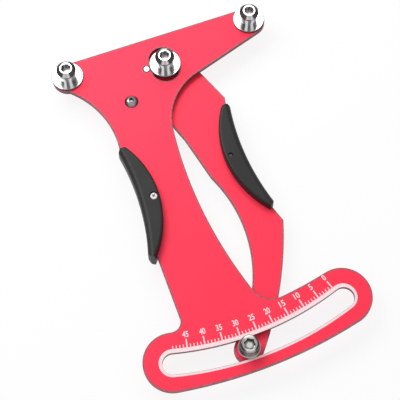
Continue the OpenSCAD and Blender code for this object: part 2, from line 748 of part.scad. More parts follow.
// The moving post stands on a spacer that lifts its disc over the front plate
module moving_spacer() {
    color([0.7, 0.71, 0.73]) on_lever() at(moving)
        washer(lever_top, disc_gap - lever_top, spacer_d, stud_d + 2 * fit);
}
module moving_flange() { color([0.9, 0.9, 0.92]) on_lever() at(moving) flange(disc_gap); }
module moving_post() {
    color([0.86, 0.87, 0.88]) on_lever() at(moving)
        post(disc_gap + flange_t, lever_back - nut_t - thread_proud);
}
module moving_nut() {
    color([0.7, 0.71, 0.73]) on_lever() at(moving) nut(lever_back, nut_af, nut_t, stud_d);
}

// The pointer: a button head over the slot, a sleeve in it, a nut behind
module pointer_screw() {
    color([0.8, 0.8, 0.8]) on_lever() at(pointer) {
        translate([0, 0, disc_gap]) button_head(pointer_head_d, pointer_head_h, pointer_socket_af);
        translate([0, 0, pin_end]) cylinder(d = pointer_d, h = disc_gap - pin_end + 0.01);
    }
}
module pointer_sleeve() {
    color([0.7, 0.71, 0.73]) on_lever() at(pointer)
        washer(lever_top, disc_gap - lever_top, sleeve_d, pointer_d + 2 * fit);
}
module pointer_nut() {
    color([0.7, 0.71, 0.73]) on_lever() at(pointer)
        nut(lever_back, pointer_nut_af, lever_back - pin_end - 0.6, pointer_d);
}

front_plate();
left_flange();
left_post();
left_nut();
right_flange();
right_post();
right_nut();
pivot_screw();
slip_washer();
back_washer();
anchor_screw();
anchor_pin();
return_spring();
plate_grip_front();
plate_grip_back();
plate_grip_screws();
lever_plate();
moving_spacer();
moving_flange();
moving_post();
moving_nut();
lever_grip_front();
lever_grip_back();
lever_grip_screws();
pointer_screw();
pointer_sleeve();
pointer_nut();
ear_pin();
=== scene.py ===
"""Finish of a spoke tension meter: the printed scale, the spring, the pointer's
cap screw, broken edges, cut threads and every surface, round the packed frame.
Lengths are metres in the frame's own axes: +X from the plate's grip to the
lever's grip, +Y from the scale to the posts, +Z out of the printed face."""

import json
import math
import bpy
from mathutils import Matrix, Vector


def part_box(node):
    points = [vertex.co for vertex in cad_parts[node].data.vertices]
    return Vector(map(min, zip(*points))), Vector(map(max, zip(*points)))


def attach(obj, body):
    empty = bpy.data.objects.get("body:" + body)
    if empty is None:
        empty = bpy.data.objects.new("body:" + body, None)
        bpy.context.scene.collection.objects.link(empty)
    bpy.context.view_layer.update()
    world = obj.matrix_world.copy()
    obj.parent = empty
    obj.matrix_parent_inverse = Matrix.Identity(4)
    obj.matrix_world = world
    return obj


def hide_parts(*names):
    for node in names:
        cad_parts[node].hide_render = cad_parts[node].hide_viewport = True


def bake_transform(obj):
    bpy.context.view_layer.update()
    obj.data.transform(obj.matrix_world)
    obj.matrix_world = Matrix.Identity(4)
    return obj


bl_info = {
    "name": "Spoke tension meter finish",
    "version": (1, 0, 0),
    "blender": (4, 5, 0),
    "location": "View3D > Sidebar > Tension meter",
    "description": "Printed scale, spring, threads, finishes and studio of a spoke tension meter",
    "category": "Object",
}

import bpy
import numpy as np
from bpy.props import (
    FloatProperty,
    FloatVectorProperty,
    IntProperty,
    PointerProperty,
)

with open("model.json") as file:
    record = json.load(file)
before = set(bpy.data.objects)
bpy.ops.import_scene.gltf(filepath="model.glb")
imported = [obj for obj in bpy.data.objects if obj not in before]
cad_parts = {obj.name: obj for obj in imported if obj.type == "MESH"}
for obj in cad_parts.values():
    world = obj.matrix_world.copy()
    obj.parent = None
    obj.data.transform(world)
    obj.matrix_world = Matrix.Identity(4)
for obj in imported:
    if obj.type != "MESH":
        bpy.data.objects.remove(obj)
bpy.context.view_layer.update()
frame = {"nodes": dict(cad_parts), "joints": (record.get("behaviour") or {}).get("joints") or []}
HINGE = np.array(frame["joints"][0]["pos_m"])
MM = 0.001
MICRON = 0.001 * MM
WHITE = (1.0, 1.0, 1.0)

# how finely the shapes are drawn: the border's arcs and ends, the figures, the
# wire, the cap screw, whose step is in degrees, and the threads, by the pitch
ARC_POINTS = 97
END_POINTS = 31
FIGURE_CURVE = 6
HOOK_POINTS = 41
CURL_POINTS = 24
WIRE_POINTS = 620
WIRE_SIDES = 14
ROUND_POINTS = 7
CAP_STEP = 5
THREAD_SIDES = 48
THREAD_ROWS = 10
THREAD_LEAST = 9

# how close two corners or levels are to count as one, and what counts as sharp
SAME_CORNER = 0.0001 * MM
SAME_LEVEL = 0.01 * MM
SHARP = math.radians(32)


def centre_of(node):
    """Middle of a CAD node's box, in plan."""
    low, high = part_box(node)
    return np.array([(low.x + high.x) / 2, (low.y + high.y) / 2])


# the kinds of value in the groups below; an angle is given in degrees


def length(name, default, description):
    return FloatProperty(name=name, description=description, default=default, unit="LENGTH")


def angle(name, default, description):
    return FloatProperty(
        name=name, description=description, default=math.radians(default), subtype="ANGLE"
    )


def colour(name, default, description):
    return FloatVectorProperty(
        name=name, description=description, default=default, size=3, subtype="COLOR", min=0, max=1
    )


def number(name, default, description):
    return FloatProperty(name=name, description=description, default=default)


def count(name, default, description):
    return IntProperty(name=name, description=description, default=default)


def position(name, default, description):
    return FloatVectorProperty(
        name=name, description=description, default=default, size=3, unit="LENGTH"
    )


class ScaleSizes(bpy.types.PropertyGroup):
    """The scale printed round the pointer's slot."""

    division: angle("Division", 0.642, "Swing of one scale division")
    zero: angle("Zero", 17.2, "Angle of the zero line from straight down")
    divisions: count("Divisions", 49, "Number of divisions")
    major_each: count("Long ticks", 5, "Divisions from one long tick to the next")
    slot_radius: length("Slot radius", 178.5 * MM, "Slot's centre line from the hinge")
    slot_half: length("Slot half width", 5.75 * MM, "Half the width of the slot")
    slot_low: angle("Slot, last end", -14.458, "Slot's end beyond the last line")
    slot_high: angle("Slot, first end", 17.7, "Slot's end beyond the zero line")
    border_gap: length("Bare edge", 0.12 * MM, "Bare metal between the slot and its border")
    border_in: length("Inner border", 2.3 * MM, "Border's width on the hinge's side")
    border_out: length("Outer border", 1.3 * MM, "Border's width on the far side")
    tick_top: length("Small tick", 168.7 * MM, "Radius where a small tick ends")
    major_top: length("Large tick", 165.8 * MM, "Radius where a large tick ends")
    tick_foot: length("Tick's foot", 0.05 * MM, "Length of a tick that lies on the border")
    tick_width: length("Small tick's width", 0.50 * MM, "Width of a small tick")
    major_width: length("Large tick's width", 0.72 * MM, "Width of a large tick")
    number_foot: length("Numbers' foot", 164.9 * MM, "Radius of the numbers' foot")
    number_height: length("Numbers' height", 3.4 * MM, "Height of the numbers")
    number_width: length("Figure's width", 1.62 * MM, "Width of one figure")
    number_alone: number("Lone figure", 1.05, "Width of a lone figure against one of two")
    number_weight: number("Weight", 0.02, "Boldness of the numbers")
    ink: length("Ink", 0.03 * MM, "Height of the ink over the plate")
    ink_layer: number("Ink's layer", 1.6, "Thickness of the ink against its height")


class SpringSizes(bpy.types.PropertyGroup):
    """The extension spring between the two hook pins."""

    wire: length("Wire", 0.8 * MM, "Diameter of the wire")
    coil: length("Coil radius", 2.1 * MM, "Radius of the wire's centre line")
    curls: count("Curls", 12, "Curls of the body")
    hook: length("Hook radius", 2.62 * MM, "Radius of the hooks' centre line")
    level: length("Level", 2.55 * MM, "Height of the wire's centre line")
    hook_turn: angle("Hook's turn", 240, "How far each hook goes round its pin")
    neck: length("Neck", 1.2 * MM, "Straight wire between a hook and the body")
    softness: count("Softness", 3, "Rounds of smoothing where hook, neck and body meet")


class PointerSizes(bpy.types.PropertyGroup):
    """The cap screw that points at the scale, on its flange."""

    flange: length("Flange radius", 6.1 * MM, "Radius of the flange over the slot")
    flange_top: length("Flange top", 13.6 * MM, "Level of the flange's upper face")
    flange_over: length("Flange over the sleeve", 0.02 * MM, "Gap below the flange")
    flange_low: length("Flange's lower edge", 0.25 * MM, "Width of the broken lower edge")
    flange_high: length("Flange's upper edge", 0.3 * MM, "Width of the broken upper edge")
    cap: length("Cap radius", 5.05 * MM, "Radius of the cap head")
    cap_foot: length("Cap foot", 0.5 * MM, "Height of the undercut at the cap's foot")
    cap_undercut: length("Undercut", 0.15 * MM, "Depth of the undercut at the cap's foot")
    cap_top: length("Cap top", 20.2 * MM, "Level of the cap's upper face")
    cap_round: length("Cap rounding", 1.1 * MM, "Radius of the cap's rounded edge")
    flats: length("Socket", 2.5 * MM, "Half the socket's width over its flats")
    socket_deep: length("Socket depth", 3.0 * MM, "Depth of the hexagon socket")
    mouth: number("Socket's mouth", 1.30, "Radius of the mouth against half the flats")
    throat: number("Socket's throat", 1.18, "Radius below the mouth against half the flats")
    mouth_deep: length("Mouth depth", 0.3 * MM, "Depth of the socket's round mouth")
    hexagon_top: length("Hexagon's top", 0.45 * MM, "Depth at which the hexagon begins")
    shank: length("Shank radius", 2.5 * MM, "Radius of the screw's shank")
    point: length("Point", 0.4 * MM, "Length of the shank's point")
    point_end: number("Point's end", 0.85, "Radius of the point's end against the shank")


class ThreadSizes(bpy.types.PropertyGroup):
    """Thread on the studs' ends behind the nuts."""

    pitch: length("Pitch", 0.5 * MM, "Pitch of the fine thread")
    depth: length("Depth", 0.16 * MM, "Depth of the thread")
    stud: length("Stud", 3.07 * MM, "Thread's radius on the posts' studs")
    screw: length("Screw", 2.57 * MM, "Thread's radius on the pointer screw")
    start: length("Start", 0.5 * MM, "Length without thread at a stud's end")
    lap: length("Lap", 0.2 * MM, "Length of thread that the nut hides")
    root: number("Root", 0.75, "Root's place below the radius, in depths of the thread")
    runout: number("Run-out", 0.35, "Length over which the thread fades, in pitches")


class Finishes(bpy.types.PropertyGroup):
    """Colours of the surfaces, and where the parts of a pattern lie."""

    # the broken edges' colour is painted shade
    edge: colour("Broken edge", (0.38, 0.11, 0.135), "Broken edges of the plates")
    edge_start: length("Broken edge's start", 0.01 * MM, "Place of the band from the outline")
    edge_width: length("Broken edge's width", 0.78 * MM, "Width of the broken edges")
    edge_lift: length("Broken edge's lift", 0.015 * MM, "Height of the broken edges' band")
    # the plates' side walls: a dark colour that is painted shade
    cut: colour("Cut edge", (0.16, 0.060, 0.075), "Edges of the plates")
    plate: colour("Front plate", (0.89, 0.026, 0.068), "Anodised front plate")
    lever: colour("Lever", (0.88, 0.026, 0.067), "Anodised lever")
    ink: colour("Ink", (0.91, 0.73, 0.755), "Printed scale")
    polished: colour("Polished steel", (0.86, 0.86, 0.87), "Posts and their discs")
    # dark end of the painted shade and painted reflections on the steel parts
    streak: colour("Streak", (0.055, 0.05, 0.05), "Dark streaks on the posts")
    socket: length("Socket", 2.95 * MM, "Radius of the posts' hexagon socket")
    # levels between which a grip screw's point is painted as shade in its hole
    tip_level: length("Screw points", 11.0 * MM, "Level above which a grip screw's point is dull")
    head_level: length("Screw heads", 14.0 * MM, "Level above which a grip screw has its head")
    pivot_end: length("Pivot's end", 1.62 * MM, "Radius of the pivot screw's end")
    anchor_flats: length("Anchor's socket", 1.25 * MM, "Half the socket's width over its flats")
    anchor_wear: number("Anchor's wear", 0.5, "How bright the dark screw's edges are rubbed")
    # direction of the dark flanks of the painted reflections
    flank: angle("Flank", -15.3, "Direction of the posts' dark flanks")
    stainless: colour("Stainless steel", (0.68, 0.67, 0.66), "Screws")
    dark: colour("Dark screw", (0.30, 0.28, 0.28), "Blackened screw")
    zinc: colour("Zinc", (0.62, 0.64, 0.67), "Plated nuts, pins and washers")
    wire: colour("Spring wire", (0.55, 0.55, 0.57), "Drawn spring wire")
    grip: colour("Grip", (0.013, 0.0125, 0.0120), "Moulded grips")
    ring: colour("Slip ring", (0.86, 0.86, 0.82), "Slip washer")


class StageSizes(bpy.types.PropertyGroup):
    """Camera, floor, lamps and sky."""

    eye: position("Camera", (-0.08626, -0.22468, 0.56610), "Place of the camera")
    turn: FloatVectorProperty(
        name="Camera turn", description="Turn of the camera",
        default=tuple(math.radians(x) for x in (22.877, 0.215, -20.065)), size=3, subtype="EULER",
    )
    lens: number("Lens", 96.72, "Focal length in millimetres")
    sensor: number("Sensor", 36.0, "Width of the camera's sensor in millimetres")
    near: length("Near limit", 10.0 * MM, "Distance from which the camera sees")
    aim: position("Aim", (0.0, 0.0, 10.0 * MM), "Point that the lamps face")
    key: number("Key lamp", 3.7, "Power of the key lamp")
    key_place: position("Key lamp's place", (-0.30, 0.45, 0.56), "Place of the key lamp")
    key_size: length("Key lamp's size", 0.45, "Side of the key lamp")
    fill: number("Fill lamp", 1.9, "Power of the fill lamp")
    fill_place: position("Fill lamp's place", (0.15, 0.60, 0.60), "Place of the fill lamp")
    fill_size: length("Fill lamp's size", 0.4, "Side of the fill lamp")
    floor: length("Floor", 4.0, "Side of the floor")
    floor_drop: length("Floor's drop", 0.2 * MM, "Depth of the floor below the tool")
    floor_grey: colour("Floor", (0.86, 0.86, 0.86), "Colour of the floor")
    floor_glow: number("Floor's glow", 0.86, "Share of white in what is seen of the floor")
    sky_low: colour("Low sky", (0.30, 0.30, 0.31), "Light from the horizon")
    sky_high: colour("High sky", (0.58, 0.58, 0.585), "Light from above")
    mirror_low: colour("Low reflection", (0.45, 0.45, 0.46), "What metal mirrors at the horizon")
    mirror_high: colour("High reflection", WHITE, "What metal mirrors above")


# ------------------------------------------------------------------ shading


class Value:
    """An output socket that takes part in Python sums; each sum adds a Math node."""

    def __init__(self, shade, socket):
        self.shade, self.socket = shade, socket

    def _math(self, operation, a, b):
        return self.shade.node("ShaderNodeMath", {"operation": operation}, {0: a, 1: b})

    def __add__(self, other):
        return self._math("ADD", self, other)

    def __radd__(self, other):
        return self._math("ADD", other, self)

    def __sub__(self, other):
        return self._math("SUBTRACT", self, other)

    def __rsub__(self, other):
        return self._math("SUBTRACT", other, self)

    def __mul__(self, other):
        return self._math("MULTIPLY", self, other)

    def __rmul__(self, other):
        return self._math("MULTIPLY", other, self)

    def __truediv__(self, other):
        return self._math("DIVIDE", self, other)

    def __pow__(self, other):
        return self._math("POWER", self, other)

    def __abs__(self):
        return self._math("ABSOLUTE", self, 0.0)

    def most(self, other):
        return self._math("MAXIMUM", self, other)

    def step(self, low, high):
        """0 below low, 1 above high, smooth between them."""
        return self.shade.node(
            "ShaderNodeMapRange",
            {"interpolation_type": "SMOOTHSTEP"},
            {"Value": self, "From Min": low, "From Max": high},
        )


class Shade:
    """The node tree of one material or of the world."""

    def __init__(self, owner):
        self.owner = owner
        owner.use_nodes = True
        self.tree = owner.node_tree
        self.tree.nodes.clear()

    def node(self, kind, settings=None, inputs=None, out=0):
        """One node of a kind: its settings first, then its sockets' values or links."""
        made = self.tree.nodes.new(kind)
        for name, value in (settings or {}).items():
            setattr(made, name, value)
        for key, value in (inputs or {}).items():
            socket = made.inputs[key]
            if isinstance(value, Value):
                self.tree.links.new(value.socket, socket)
            elif socket.type == "RGBA" and len(value) == 3:
                socket.default_value = (*value, 1.0)
            else:
                socket.default_value = value
        return Value(self, made.outputs[out])

    def place(self, centre=(0, 0, 0), scale=(1, 1, 1)):
        """Object coordinates, moved so that centre is their origin, and scaled."""
        here = self.node("ShaderNodeTexCoord", out="Object")
        moved = self.node("ShaderNodeVectorMath", {"operation": "SUBTRACT"}, {0: here, 1: centre})
        return self.node("ShaderNodeMapping", None, {"Vector": moved, "Scale": scale})

    def parts(self, vector):
        """The x, y and z of a vector."""
        split = self.tree.nodes.new("ShaderNodeSeparateXYZ")
        self.tree.links.new(vector.socket, split.inputs[0])
        return [Value(self, s) for s in split.outputs]

    def noise(self, vector, scale, detail=2.0, roughness=0.5):
        return self.node(
            "ShaderNodeTexNoise", None,
            {"Vector": vector, "Scale": scale, "Detail": detail, "Roughness": roughness},
        )

    def mix(self, factor, a, b):
        """Colour a where the factor is 0 and b where it is 1."""
        return self.node("ShaderNodeMix", {"data_type": "RGBA"}, {0: factor, 6: a, 7: b}, out=2)

    def bump(self, height, distance, strength=0.5):
        return self.node(
            "ShaderNodeBump", None, {"Strength": strength, "Distance": distance, "Height": height}
        )

    def up(self):
        """How far the surface faces up, from -1 to 1."""
        return self.parts(self.node("ShaderNodeTexCoord", out="Normal"))[2]

    def round_axis(self, centre, level=0.0):
        """Coordinates from an upright axis and a level: vector, x, y, z and radius."""
        here = self.place((centre[0], centre[1], level))
        x, y, z = self.parts(here)
        return here, x, y, z, (x * x + y * y) ** 0.5

    def rings(self, radius, z, scale):
        """Noise that is the same all round an axis, as a lathe leaves it."""
        turned = self.node("ShaderNodeCombineXYZ", None, {0: radius, 1: z, 2: 0.0})
        return self.noise(turned, scale)

    def ray(self, kind):
        """1 for the rays of a kind that Light Path names, and 0 for others."""
        return self.node("ShaderNodeLightPath", out=kind)

    def finish(self, shader, kind="ShaderNodeOutputMaterial"):
        """Joins the last shader to the tree's output."""
        out = self.tree.nodes.new(kind)
        self.tree.links.new(shader.socket, out.inputs[0])
        return self.owner

    def surface(self, **sockets):
        """Principled surface; the sockets' spaces are written as underscores."""
        inputs = {name.replace("_", " "): value for name, value in sockets.items()}
        return self.finish(self.node("ShaderNodeBsdfPrincipled", None, inputs))


def tone(base, factor):
    """A colour made lighter or darker."""
    return tuple(min(1.0, c * factor) for c in base)


def anodised(name, base, wall_shade_base):
    """Bead-blasted, dyed aluminium sheet: an even satin face with a faint
    cloud and a fine grain, and cut edges with upright cutting marks, painted
    darker as shade on the side walls."""
    s = Shade(bpy.data.materials.new(name))
    here = s.place()
    edge = 1.0 - abs(s.up()).step(0.3, 0.8)
    cloud = s.noise(here, 22.0).step(0.25, 0.75)
    grain = s.noise(here, 5200.0, 2.0, 0.6)
    marks = s.noise(s.place(scale=(1, 1, 0.02)), 2600.0, 1.0)
    face = s.mix(cloud, tone(base, 0.965), tone(base, 1.03))
    face = s.mix(grain.step(0.55, 0.8) * 0.10, face, tone(base, 1.35))
    # the side walls are painted darker as shade; the cutting marks on them are real
    cut = s.mix(marks, tone(wall_shade_base, 0.75), tone(wall_shade_base, 1.5))
    height = grain * (1.0 - edge) + marks * edge * 1.6
    return s.surface(
        Base_Color=s.mix(edge, face, cut),
        Metallic=0.30,
        Roughness=0.46 + grain * 0.10 - edge * 0.06,
        Normal=s.bump(height, 12 * MICRON),
        Specular_IOR_Level=0.40,
    )


def post_steel(name, base, dark, centre, top, foot, socket, flank):
    """Polished post: a pale end face, painted shade in the socket, lighter in
    patches, and painted reflections in dark and bright streaks on the sides
    and the shoulder, with a band of painted shade below the end, down to its
    foot. The stud below the foot is plain."""
    s = Shade(bpy.data.materials.new(name))
    _, x, y, z, radius = s.round_axis(centre, top)
    radius = radius.most(0.2 * MM)
    up = s.up()
    # noise stretched along the axis, which makes the painted reflections streaky
    around = s.node("ShaderNodeCombineXYZ", None, {0: x / radius, 1: y / radius, 2: z * 22.0})
    fine = s.noise(around, 7.0, 2.0, 0.6)
    streak = fine - 0.5
    across = abs(x * math.cos(flank) + y * math.sin(flank)) / radius
    # masks of the painted light: the end with its rounded shoulder, which gets painted
    # reflections, the socket, painted as shade, and the band below the end, painted as shade
    flat = up.step(0.25, 0.6)
    shoulder = flat * (1.0 - up.step(0.88, 0.97))
    socket_shade = (1.0 - radius.step(socket * 0.93, socket * 1.06)) * (1.0 - z.step(-0.4 * MM, -0.03 * MM))
    under = z.step(-4.0 * MM, -3.0 * MM) * (1.0 - z.step(-2.0 * MM, -1.6 * MM))
    # painted reflections on the sides: dark lobes away from the flank's direction and a dark
    # middle, made streaky
    reflection_lobe = (across + streak * 0.30).step(0.34, 0.64)
    middle = 1.0 - (across + streak * 0.4).step(0.12, 0.38)
    side_reflection = (1.0 - flat) * (0.10 + reflection_lobe * 0.85).most(middle * 0.80).most(under * 0.62)
    shoulder_lobe = 0.26 + (across + streak * 0.3).step(0.20, 0.50) * 0.67
    shoulder_reflection = shoulder * shoulder_lobe.most(middle * 0.50)
    painted_dim = side_reflection.most(shoulder_reflection).most(socket_shade * (0.12 + fine * 0.45))
    painted_dim = painted_dim * z.step(foot - top - 0.6 * MM, foot - top - 0.1 * MM)
    ring = s.rings(radius, z, 5200.0)
    return s.surface(
        Base_Color=s.mix(painted_dim.step(0.0, 1.0), base, dark),
        Metallic=1.0,
        Roughness=0.16 + ring * 0.08 + socket_shade * 0.2,
        Normal=s.bump(ring, 2 * MICRON),
    )


def hexagon(x, y):
    """Distance from a hexagon's middle, equal along each of its flats."""
    flats = [abs(x * math.cos(a) + y * math.sin(a)) for a in (0, math.pi / 3, 2 * math.pi / 3)]
    return flats[0].most(flats[1]).most(flats[2])


def socket_head(name, base, dark, centre, top, reach, half_flats, flank, worn=0.0, flange_top=0.0):
    """Socket head: a bright dome with painted shade on its rolled rim, painted
    shade in the socket and on its edge, lighter on its floor, painted
    reflections as dark flanks and on the side, and rubbed places of real
    wear. A flange below it, up to the level given, has a painted reflection
    brighter than the head's side."""
    s = Shade(bpy.data.materials.new(name))
    here, x, y, z, radius = s.round_axis(centre, top)
    hexa = hexagon(x, y)
    speck = s.noise(here, 2600.0, 3.0, 0.6)
    ring = s.rings(radius, z, 4200.0)
    # painted shade on the rim, on the socket's lip and inside the socket, lighter on its floor;
    # painted reflections on the flanks and the side
    rim = (radius / reach + (ring - 0.5) * 0.10).step(0.72, 0.90)
    socket_lip_shade = 1.0 - abs(hexa - half_flats).step(0.08 * MM, 0.42 * MM)
    inside = 1.0 - hexa.step(half_flats * 0.90, half_flats * 1.02)
    floor = inside * (1.0 - hexa.step(half_flats * 0.45, half_flats * 0.7))
    side = 1.0 - s.up().step(0.02, 0.35)
    across = abs(x * math.cos(flank) + y * math.sin(flank)) / radius.most(0.2 * MM)
    flanks = across.step(0.35, 0.85) * (radius / reach).step(0.40, 0.75)
    painted_dim = (rim * 0.45 + flanks * 0.55).most(socket_lip_shade * 0.95)
    painted_dim = painted_dim.most(inside * 0.62 - floor * 0.45).most(side * 0.30 + flanks * 0.3)
    painted_dim = painted_dim - worn * speck.step(0.45, 0.65) * (rim + socket_lip_shade)
    # painted reflection on the flange, lighter than the head's side, which has painted shade
    brink = flange_top - top
    flange = 1.0 - z.step(brink - 0.2 * MM, brink + 0.1 * MM)
    head_side_shade = side * (0.42 + flanks * 0.4) * (1.0 - flange)
    painted_dim = painted_dim * (1.0 - flange) + flange * (side * 0.22 + flanks * 0.05) + head_side_shade * 0.4
    return s.surface(
        Base_Color=s.mix(painted_dim.step(0.0, 1.0), base, dark),
        Metallic=1.0,
        Roughness=0.20 + ring * 0.10,
        Normal=s.bump(ring, 3 * MICRON),
    )


def grip_screw_steel(name, base, dark, centre, tip_level, head_level):
    """Pan head screw: bright turned head with painted shade in its cross and on
    its rim, and a rougher point with painted shade where it stands in its
    hole, between the two levels given."""
    s = Shade(bpy.data.materials.new(name))
    _, x, y, z, radius = s.round_axis(centre)
    edge = 0.4 * MM
    # painted shade on the point, where it stands in its hole
    point = z.step(tip_level, tip_level + edge) * (1.0 - z.step(head_level, head_level + edge))
    # painted shade in the cross and on the rim
    arms = [1.0 - abs(arm).step(0.30 * MM, 0.62 * MM) for arm in (x + y, x - y)]
    cross = arms[0].most(arms[1]) * (1.0 - radius.step(1.10 * MM, 1.40 * MM))
    rim = radius.step(1.95 * MM, 2.25 * MM)
    ring = s.rings(radius, z, 5000.0)
    return s.surface(
        Base_Color=s.mix(point.most(cross * 0.8).most(rim * 0.6), base, dark),
        Metallic=1.0,
        Roughness=0.22 + ring * 0.10 + point * 0.2,
        Normal=s.bump(ring, 3 * MICRON),
    )


def rimmed(name, base, dark, centre, reach, roughness):
    """Turned disc or screw end: bright faces, with painted shade on the broken edge and on the
    sides.
    """
    s = Shade(bpy.data.materials.new(name))
    here, _, _, z, radius = s.round_axis(centre)
    up = s.up()
    ring = s.rings(radius, z, 6000.0)
    cloud = s.noise(here, 300.0, 3.0).step(0.35, 0.7)
    # painted shade on the broken edge and on the sides
    brink = (radius / reach + (ring - 0.5) * 0.02).step(0.925, 0.985) * up.step(0.0, 0.5)
    edge = brink.most(1.0 - abs(up).step(0.5, 0.95))
    return s.surface(
        Base_Color=s.mix(edge * 0.85 + cloud * 0.03, base, dark),
        Metallic=1.0,
        Roughness=roughness + ring * 0.05 + edge * 0.1,
        Normal=s.bump(ring, 1.5 * MICRON),
    )


def plated(name, base):
    """Zinc plate: a pale metal with cloudy crystals and a blue cast."""
    s = Shade(bpy.data.materials.new(name))
    here = s.place()
    cloud = s.noise(here, 420.0, 4.0, 0.65).step(0.35, 0.65)
    blue = (base[0], base[1], min(1, base[2] * 1.08))
    return s.surface(
        Base_Color=s.mix(cloud, tone(base, 0.88), blue),
        Metallic=1.0,
        Roughness=0.26 + cloud * 0.10,
        Normal=s.bump(s.noise(here, 5200.0), 4 * MICRON),
    )


def drawn(name, base):
    """Drawn spring wire: faint clouds, a fine grain and a thin oil film."""
    s = Shade(bpy.data.materials.new(name))
    here = s.place()
    cloud = s.noise(here, 900.0, 3.0)
    fine = s.noise(here, 9000.0)
    return s.surface(
        Base_Color=s.mix(cloud.step(0.35, 0.7), tone(base, 0.8), tone(base, 1.08)),
        Metallic=1.0,
        Roughness=0.22 + fine * 0.16,
        Normal=s.bump(fine, 3 * MICRON),
        Coat_Weight=0.15,
    )


def moulded(name, base):
    """Satin black plastic from an eroded mould: fine pits under a soft sheen."""
    s = Shade(bpy.data.materials.new(name))
    here = s.place()
    pits = s.noise(here, 3600.0, 3.0, 0.6)
    cloud = s.noise(here, 60.0).step(0.3, 0.7)
    return s.surface(
        Base_Color=s.mix(cloud, tone(base, 0.85), tone(base, 1.25)),
        Roughness=0.38 + pits * 0.16,
        Normal=s.bump(pits, 15 * MICRON),
        Specular_IOR_Level=0.26,
    )


def nylon(name, base):
    """Slip ring of pale, slightly waxy plastic."""
    s = Shade(bpy.data.materials.new(name))
    fine = s.noise(s.place(), 4000.0)
    return s.surface(
        Base_Color=s.mix(fine, tone(base, 0.94), base),
        Roughness=0.36 + fine * 0.1,
        Normal=s.bump(fine, 3 * MICRON, 0.4),
    )


def worn_edge(name, base):
    """Broken edge of dyed sheet: a dark band of painted shade, with a faint mottle."""
    s = Shade(bpy.data.materials.new(name))
    # mottle within the painted shade band
    wear = s.noise(s.place(), 900.0, 3.0, 0.6)
    return s.surface(
        Base_Color=s.mix(wear.step(0.35, 0.7), tone(base, 0.8), tone(base, 1.3)),
        Roughness=0.62 + wear * 0.15,
        Normal=s.bump(wear, 4 * MICRON),
        Specular_IOR_Level=0.15,
    )


def printed(name, base):
    """Pad-printed ink: thin enough for a breath of the red below to show."""
    s = Shade(bpy.data.materials.new(name))
    here = s.place()
    cover = s.noise(here, 1500.0, 3.0, 0.6).step(0.30, 0.62)
    fine = s.noise(here, 7000.0, 1.0)
    return s.surface(
        Base_Color=s.mix(cover, (base[0], base[1] * 0.84, base[2] * 0.85), base),
        Roughness=0.42 + fine * 0.12,
        Normal=s.bump(fine, 4 * MICRON, 0.4),
    )


def floor_white(p):
    """Pale floor: the camera and mirrors see it nearly white, and the lamps
    light it as a matt floor, which keeps the tool's shadow."""
    s = Shade(bpy.data.materials.new("floor_white"))
    shown = s.ray("Is Camera Ray").most(s.ray("Is Glossy Ray")).most(s.ray("Is Transmission Ray"))
    matt = s.node("ShaderNodeBsdfDiffuse", None, {"Color": tuple(p.floor_grey)})
    lit = s.node("ShaderNodeEmission", None, {"Color": WHITE, "Strength": 1.0})
    both = s.node("ShaderNodeMixShader", None, {0: shown * p.floor_glow, 1: matt, 2: lit})
    return s.finish(both)


def studio_sky(p):
    """Sky that lights matt surfaces softly, stands brighter in mirrors, more
    so from above, and is plain white to the camera."""
    s = Shade(bpy.data.worlds.new("studio"))
    up = s.parts(s.node("ShaderNodeTexCoord", out="Generated"))[2]
    soft = s.mix(up.step(-0.05, 0.55), tuple(p.sky_low), tuple(p.sky_high))
    gloss = s.mix(up.step(0.0, 0.7), tuple(p.mirror_low), tuple(p.mirror_high))
    mirrored = s.ray("Is Glossy Ray").most(s.ray("Is Transmission Ray"))
    shown = s.mix(s.ray("Is Camera Ray"), s.mix(mirrored, soft, gloss), WHITE)
    light = s.node("ShaderNodeBackground", None, {"Color": shown, "Strength": 1.0})
    return s.finish(light, "ShaderNodeOutputWorld")


def dress(node, material):
    """Gives a CAD node its finish."""
    mesh = frame["nodes"][node].data
    mesh.materials.clear()
    mesh.materials.append(material)


# ------------------------------------------------------------------- shapes


def mesh_object(name, points, faces, material):
    """A mesh object at the origin from an array of points and rows of faces."""
    mesh = bpy.data.meshes.new(name)
    mesh.from_pydata(np.reshape(points, (-1, 3)).tolist(), [], [list(face) for face in faces])
    mesh.materials.append(material)
    mesh.update()
    made = bpy.data.objects.new(name, mesh)
    bpy.context.scene.collection.objects.link(made)
    return made


def thicken(piece, thickness):
    """Makes a closed layer of an upward-facing sheet, which grows downwards."""
    layer = piece.modifiers.new("layer", "SOLIDIFY")
    layer.thickness, layer.offset = thickness, -1


def smooth(piece):
    """Smooth shading, except across sharp edges."""
    piece.data.polygons.foreach_set("use_smooth", np.ones(len(piece.data.polygons), bool))
    piece.data.update()
    piece.data.set_sharp_from_angle(angle=SHARP)
    return piece


def grid_faces(rows, columns, close_rows=False, close_columns=False):
    """Quads of a grid of rows by columns, each closed on itself where asked."""
    i, j = np.meshgrid(
        np.arange(rows if close_rows else rows - 1),
        np.arange(columns if close_columns else columns - 1),
        indexing="ij",
    )
    a, b = (i % rows) * columns, ((i + 1) % rows) * columns
    c, d = j % columns, (j + 1) % columns
    return np.stack([a + c, a + d, b + d, b + c], -1).reshape(-1, 4)


def capped_faces(rows, columns):
    """Faces of a grid closed round its columns, with a flat cap at each end."""
    first = list(range(columns))
    last = [(rows - 1) * columns + n for n in first]
    return grid_faces(rows, columns, close_columns=True).tolist() + [first[::-1], last]


def polar(radius, turn):
    """Points at a radius from the hinge, at an angle from straight down."""
    return np.stack([HINGE[0] + radius * np.sin(turn), HINGE[1] - radius * np.cos(turn)], -1)


